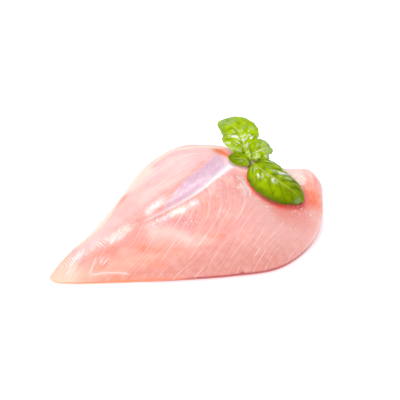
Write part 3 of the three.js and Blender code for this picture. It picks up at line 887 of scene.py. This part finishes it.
def raw_breast_meat():
    """Skinned poultry breast, fresh from the knife.

    Pale pink muscle that light enters for a few millimetres, in bundles parted by white septa, under
    a wet film: soft colour, tight highlights, fine ridges along the fibres. Some of the film's white
    glints, streaks and sheen are painted highlights. Painted shade lies along the lip and underside, at the
    near edge and the near side of the thick end, and as a red shadow beside the lower leaf. A faint painted
    glow of its own stands for light beside the leaves.
    """
    material, tree = new_material("raw_breast_meat")
    masks = mask_values(tree, [*UNDER_FILM, *ON_TOP, "near_side", "far_side", "beaded", "wet", "painted_light",
                               "leaf_painted_glow"])
    place, near_fibres, far_fibres = [add(tree, "Attribute", {"attribute_name": name}).outputs["Vector"]
                                      for name in ("place", "fibres", "far_fibres")]

    septum, bundle, thread = [
        add(tree, "Math", {"operation": "MULTIPLY"}, {0: lines, 1: where}).outputs[0]
        for lines, where in (
            (thin_lines(tree, near_fibres, SEPTUM_SPACING, 0.16), masks["near_side"]),
            (thin_lines(tree, near_fibres, BUNDLE_SPACING, 0.4), masks["near_side"]),
            (thin_lines(tree, far_fibres, THREAD_SPACING, 0.5), masks["far_side"]),
        )
    ]
    strand, band = [
        add(tree, "Mix", {}, {0: masks["far_side"], NUMBER_A: streaks(tree, near_fibres, *near),
                              NUMBER_B: streaks(tree, far_fibres, *far)}).outputs[0]
        for near, far in (STRANDS, BANDS)
    ]
    banded = add(tree, "MapRange", {"From Min": 0.35, "From Max": 0.65}, {"Value": band}).outputs[0]
    mottle = add(tree, "TexNoise", {"Scale": 1 / 5, "Detail": 3}, {"Vector": place}).outputs["Fac"]
    paler = add(tree, "MapRange", {"From Min": 0.4, "From Max": 0.8, "To Max": 0.25},
                {"Value": mottle}).outputs[0]
    streaked = add(tree, "MapRange", {"From Min": 0.45, "From Max": 0.75, "To Max": 0.14},
                   {"Value": strand}).outputs[0]
    stretched = add(tree, "VectorMath", {"operation": "MULTIPLY", 1: (0.85, 0.42, 0.42)}, {0: place})
    drops = add(tree, "TexNoise", {"Scale": 1, "Detail": 0}, {"Vector": stretched.outputs[0]}).outputs["Fac"]
    drops = add(tree, "MapRange", {"interpolation_type": "SMOOTHSTEP", "From Min": 0.6, "From Max": 0.7},
                {"Value": drops}).outputs[0]
    beads = add(tree, "Math", {"operation": "MULTIPLY"}, {0: drops, 1: masks["beaded"]}).outputs[0]
    bundles, septa, threads, painted_glints = [
        add(tree, "Math", {"operation": "MULTIPLY", 1: share}, {0: amount}).outputs[0]
        for amount, share in ((bundle, 0.16), (septum, 0.75), (thread, 0.5), (beads, 0.55))
    ]

    layers = [(banded, FLESH_PEACH)]
    layers += [(masks[name], stain) for name, stain in UNDER_FILM.items()]
    layers += [(paler, "#fad6cf"), (streaked, "#fdd9d2")]
    layers += [(lines, "#fbe2dd") for lines in (bundles, septa, threads)]
    layers += [(masks[name], stain) for name, stain in ON_TOP.items()]
    # white flecks on the beads of juice: painted glints
    layers += [(painted_glints, "#fff4f4")]
    colour = stained(tree, FLESH_ROSE, layers)

    ripples = add(tree, "TexNoise", {"Scale": 1 / 2.2, "Detail": 2}, {"Vector": place}).outputs["Fac"]
    height = masks["seam"]
    for form, rise in ((beads, 0.3), (ripples, 0.16), (septum, -0.08), (strand, 0.12)):
        height = add(tree, "Math", {"operation": "MULTIPLY_ADD", 1: rise}, {0: form, 2: height}).outputs[0]
    normal = add(tree, "Bump", {"Strength": 1, "Distance": MM}, {"Height": height}).outputs[0]
    wetness = add(tree, "MapRange", {"To Min": 0.25, "To Max": 1}, {"Value": masks["wet"]}).outputs[0]

    # painted light on the spots under the leaves
    through = add(tree, "Math", {"operation": "MULTIPLY", 1: 0.27}, {0: masks["painted_light"]}).outputs[0]
    # painted glow beside the lower leaf's margin, with the painted light of the spots
    painted_glow_strength = add(tree, "Math", {"operation": "MULTIPLY_ADD", 1: 0.62},
                   {0: masks["leaf_painted_glow"], 2: through}).outputs[0]
    # the colour of the painted glow, paler on the painted light spots
    painted_glow_colour = stained(tree, "#ff4a3a", [(masks["painted_light"], "#ffdcd2")])
    shader = add(tree, "BsdfPrincipled", {
        "Roughness": 0.36, "IOR": 1.4, "Subsurface Weight": 0.35, "Subsurface Radius": (1, 0.4, 0.3),
        "Subsurface Scale": 5 * MM, "Coat Roughness": 0.08, "Coat IOR": 1.45, "Specular IOR Level": 0.3,
    }, {"Base Color": colour, "Normal": normal, "Coat Normal": normal, "Coat Weight": wetness,
        "Emission Color": painted_glow_colour, "Emission Strength": painted_glow_strength})
    add(tree, "OutputMaterial", {}, {"Surface": shader.outputs[0]})
    return material


# Stains of a leaf, in the order in which they lie on it: their masks, colours and shares.
LEAF_STAINS = [
    ("ripe", "#5c7200", 0.75),
    # painted shade where the margins curl under and where the leaves overlap at their bases
    ("margin", "#4a5a10", 0.75),
    # painted shade in the furrows by the side veins
    ("furrow_shade", "#3c5600", 0.8),
    # painted bluish sheen of reflected light where the blade turns away
    ("painted_sheen", "#a2b896", 0.42),
    ("midrib", "#d8d27a", 0.8),
    # painted white highlight on the glints, beside their real waxy gloss
    ("glint", "#ffffff", 0.7),
    ("underface", "#9fb66a", 0.6),
    ("wilted", "#1c1a10", 1),
]


def fresh_basil_leaf():
    """A fresh basil leaf: thin quilted flesh, yellower where it is young, and waxy in patches.

    The wax gives sharp small glints on the puffed flesh between the veins, made whiter by painted
    highlights. A painted bluish sheen stands for the light reflected where the blade turns away, and
    painted shade darkens the furrows, the curled margins and the bases of the leaves.
    """
    material, tree = new_material("fresh_basil_leaf")
    blade = add(tree, "Attribute", {"attribute_name": "blade"}).outputs["Vector"]
    masks = mask_values(tree, ["young", *(stain[0] for stain in LEAF_STAINS)])
    mottle = add(tree, "TexNoise", {"Scale": 1 / 7, "Detail": 1}, {"Vector": blade}).outputs["Fac"]
    darker = add(tree, "MapRange", {"From Min": 0.4, "From Max": 0.7, "To Max": 0.45},
                 {"Value": mottle}).outputs[0]
    layers = [(masks["young"], "#b8d800"), (darker, "#4a6200")]
    for name, stain, share in LEAF_STAINS:
        amount = add(tree, "Math", {"operation": "MULTIPLY", 1: share}, {0: masks[name]}).outputs[0]
        layers.append((amount, stain))
    colour = stained(tree, "#9cb600", layers)
    veinlets = add(tree, "TexVoronoi", {"feature": "DISTANCE_TO_EDGE", "Scale": 1 / 1.8}, {"Vector": blade})
    puffed = add(tree, "MapRange", {"interpolation_type": "SMOOTHSTEP", "From Max": 0.35, "To Max": 0.2},
                 {"Value": veinlets.outputs["Distance"]}).outputs[0]
    crumple = add(tree, "TexNoise", {"Scale": 1 / 3, "Detail": 2}, {"Vector": blade}).outputs["Fac"]
    height = add(tree, "Math", {"operation": "MULTIPLY_ADD", 1: 0.9}, {0: crumple, 2: puffed}).outputs[0]
    normal = add(tree, "Bump", {"Strength": 1, "Distance": MM}, {"Height": height}).outputs[0]
    waxy = add(tree, "MapRange", {"To Min": 0.02, "To Max": 1}, {"Value": masks["glint"]}).outputs[0]
    shader = add(tree, "BsdfPrincipled", {
        "Roughness": 0.17, "IOR": 1.5, "Subsurface Weight": 0.2,
        "Subsurface Radius": (0.6, 1, 0.1), "Subsurface Scale": 1.5 * MM,
    }, {"Base Color": colour, "Normal": normal, "Specular IOR Level": waxy})
    add(tree, "OutputMaterial", {}, {"Surface": shader.outputs[0]})
    return material


def basil_stalk():
    """Basil's soft young stalks: pale yellow green, faintly hairy and dull."""
    material, tree = new_material("basil_stalk")
    place = add(tree, "TexCoord", {}).outputs["Object"]
    grain = add(tree, "TexNoise", {"Scale": 1 / (2 * MM), "Detail": 2}, {"Vector": place}).outputs["Fac"]
    colour = stained(tree, "#7d9a26", [(grain, "#b9c763")])
    normal = add(tree, "Bump", {"Strength": 0.5, "Distance": 0.1 * MM}, {"Height": grain}).outputs[0]
    shader = add(tree, "BsdfPrincipled", {"Roughness": 0.45, "IOR": 1.45, "Subsurface Weight": 0.2,
                                          "Subsurface Radius": (0.5, 1, 0.2), "Subsurface Scale": MM},
                 {"Base Color": colour, "Normal": normal})
    add(tree, "OutputMaterial", {}, {"Surface": shader.outputs[0]})
    return material


def white_table():
    """A glowing white acrylic table, so that shadows almost vanish."""
    material, tree = new_material("white_table")
    shader = add(tree, "BsdfPrincipled", {
        "Base Color": linear("#f4f4f6"), "Roughness": 0.6, "Emission Color": linear("#fbfbff"),
        "Emission Strength": 0.4,
    })
    add(tree, "OutputMaterial", {}, {"Surface": shader.outputs[0]})
    return material


def beside_leaf(places, leaf_places):
    """Masks of the meat beside the lower leaf: its painted red shadow, and a painted glow along its margin.
    """
    tree = KDTree(len(leaf_places))
    for i, place in enumerate(leaf_places):
        tree.insert(place, i)
    tree.balance()
    distances = np.array([tree.find(place)[2] for place in places])
    x = places[:, 0]
    shares = distances / mix(LEAF_SHADOW_AND_GLOW["left"], LEAF_SHADOW_AND_GLOW["right"], ease((x - LEAF_SHADOW_AND_GLOW["from"]) / LEAF_SHADOW_AND_GLOW["blend"]))
    tail = LEAF_SHADOW_TAIL["share"] * bump(shares / LEAF_SHADOW_TAIL["reach"])
    tail = tail * between(x, LEAF_SHADOW_TAIL["start"], LEAF_SHADOW_TAIL["end"], LEAF_SHADOW_TAIL["blend"])
    beside = ease((x - LEAF_SHADOW_AND_GLOW["start"]) / LEAF_SHADOW_AND_GLOW["start_blend"])
    return {
        # the lower leaf's painted red shadow
        "leaf_painted_shadow": beside * np.maximum(bump(shares), tail),
        # a painted glow beside the lower leaf's margin
        "leaf_painted_glow": beside * bump(distances / LEAF_SHADOW_AND_GLOW["shine"]),
    }


def make_sprig(meat, origin):
    """The leaves in crossed pairs on petioles from one short stem, set over the meat.

    Gives the lower leaf's places.
    """

    def over_meat(place):
        x, y, lift = place
        hit = meat.ray_cast(Vector((x, y, FILLET_LENGTH)), Vector((0, 0, -1)))[0]
        return np.array((x, y, hit.z + lift))

    leaf_finish = fresh_basil_leaf()
    joint = over_meat(JOINT)
    stalks = [stalk_form([joint + offset for offset in np.array(STEM_PATH)], STEM_RADIUS)]
    for name, leaf in LEAVES.items():
        spine = [over_meat(place) if leaf.get("over_meat") else joint + place for place in leaf["spine"]]
        in_blade = mix(spine[0], spine[1], PETIOLE_IN_BLADE)
        stalks.append(stalk_form([joint, spine[0], in_blade], PETIOLE_RADIUS))
        places, faces, masks = leaf_form(leaf, spine)
        if name == "lower":
            lower_places = places
        make_piece(f"basil_leaf_{name}", places, faces, masks, leaf_finish, "basil_sprig",
                   origin)
    places, faces = joined(stalks)
    make_piece("basil_stalks", places, faces, {}, basil_stalk(), "basil_sprig", origin)
    return lower_places


def aim(thing, place, target):
    thing.location = place
    thing.rotation_mode = "QUATERNION"
    thing.rotation_quaternion = (Vector(target) - Vector(place)).to_track_quat("-Z", "Y")
    bpy.context.scene.collection.objects.link(thing)


# A small softbox high behind and a large weak one in front: place, width, height and power.
SOFTBOXES = {
    "key_softbox": ((0.05, 0.35, 1.1), 0.42, 0.42, 5.6),
    "front_softbox": ((-0.6, -0.9, 0.7), 1, 0.8, 6.5),
}
LIGHT_TARGET = (0, 0, 0.02)
TABLE_REACH = 4
# The sky's strength as a light, and where it is seen: there it meets the far table's colour.
SKY_LIGHT = 0.59
SKY_SEEN = 0.94


def make_studio():
    """A glowing white table in white surroundings, and its softboxes."""
    mesh = bpy.data.meshes.new("table_top")
    corners = [(x * TABLE_REACH, y * TABLE_REACH, 0) for x, y in ((-1, -1), (1, -1), (1, 1), (-1, 1))]
    mesh.from_pydata(corners, [], [(0, 1, 2, 3)])
    mesh.materials.append(white_table())
    table = bpy.data.objects.new("table_top", mesh)
    bpy.context.scene.collection.objects.link(table)
    world = bpy.data.worlds.new("white_studio")
    world.use_nodes = True
    tree = world.node_tree
    background = tree.nodes["Background"]
    background.inputs["Color"].default_value = linear("#fbfbff")
    seen = add(tree, "LightPath", {}).outputs["Is Camera Ray"]
    strength = add(tree, "MapRange", {"To Min": SKY_LIGHT, "To Max": SKY_SEEN}, {"Value": seen}).outputs[0]
    tree.links.new(strength, background.inputs["Strength"])
    bpy.context.scene.world = world
    for name, (place, width, height, power) in SOFTBOXES.items():
        light = bpy.data.lights.new(name, "AREA")
        light.shape = "RECTANGLE"
        light.size = width
        light.size_y = height
        light.energy = power
        aim(bpy.data.objects.new(name, light), place, LIGHT_TARGET)
    bpy.context.scene.view_settings.view_transform = "Standard"


# The camera looks down at 36 degrees and is turned 20 degrees to the right of the fillet's broad side.
CAMERA_PLACE = Vector((-0.1969, -0.5730, 0.4707))
CAMERA_AHEAD = Vector((0.2767, 0.7602, -0.5878))


def make_camera():
    lens = bpy.data.cameras.new("camera")
    lens.lens = 85
    lens.sensor_width = 36
    camera = bpy.data.objects.new("camera", lens)
    aim(camera, CAMERA_PLACE, CAMERA_PLACE + CAMERA_AHEAD)
    bpy.context.scene.camera = camera


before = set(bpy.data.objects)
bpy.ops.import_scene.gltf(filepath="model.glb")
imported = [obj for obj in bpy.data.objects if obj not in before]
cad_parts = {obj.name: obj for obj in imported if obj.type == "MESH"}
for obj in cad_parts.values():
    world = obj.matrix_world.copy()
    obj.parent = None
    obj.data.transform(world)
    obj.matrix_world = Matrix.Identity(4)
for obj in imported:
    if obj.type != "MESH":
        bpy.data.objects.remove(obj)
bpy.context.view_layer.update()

fillet_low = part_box("turkey_breast")[0]
places, faces, masks = fillet_form()
origin = np.array(fillet_low / MM - Vector(places.min(axis=0)))
leaf_places = make_sprig(BVHTree.FromPolygons([Vector(place) for place in places], faces), origin)
masks.update(beside_leaf(places, leaf_places))
make_piece("breast_fillet", places, faces, masks, raw_breast_meat(), "turkey_breast", origin)
make_studio()
make_camera()
